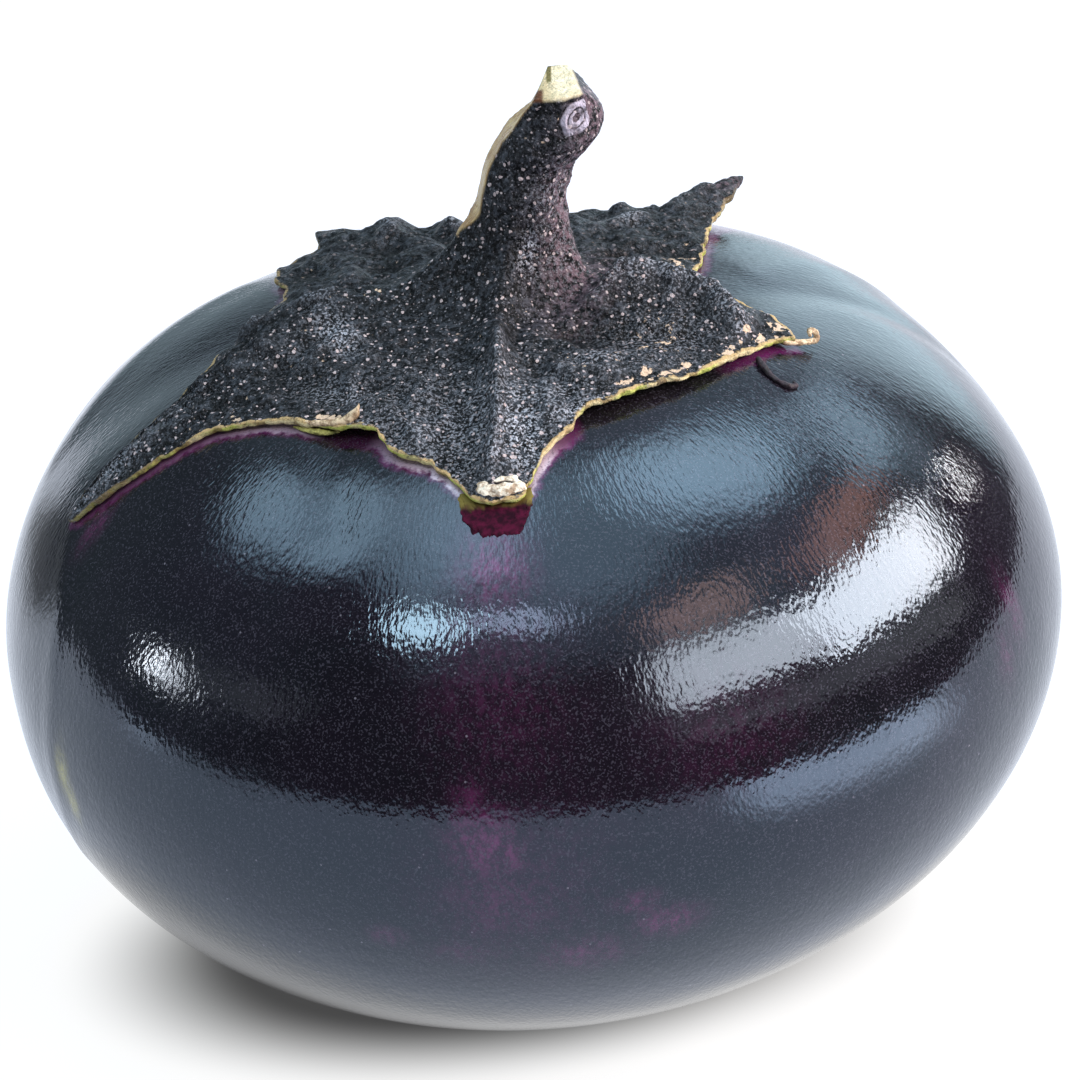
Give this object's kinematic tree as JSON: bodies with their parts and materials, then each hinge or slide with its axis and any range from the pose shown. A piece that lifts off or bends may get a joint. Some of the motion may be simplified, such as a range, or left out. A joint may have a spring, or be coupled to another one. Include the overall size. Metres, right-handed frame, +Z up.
{
  "type": "eggplant",
  "caption": "Squat round eggplant with a glossy, nearly black skin and a dark, rough, lobed calyx whose cut stem bends to one side.",
  "frame": {"origin": "middle of the small flat spot that the fruit rests on", "axes": "+Z up, -Y to the front, where the short blunt lobe of the calyx lies; -X to the left, where the longest lobe lies"},
  "size_m": [0.1195, 0.1207, 0.1053],
  "materials": {
    "skin": "smooth waxy skin, glossy, with a fine orange-peel grain",
    "calyx": "rough, dull and leathery, with pale specks and a tan-green edge; pale woody cut faces"
  },
  "bodies": {
    "root": {"fruit": "skin", "calyx_and_stem": "calyx"}
  },
  "joints": []
}
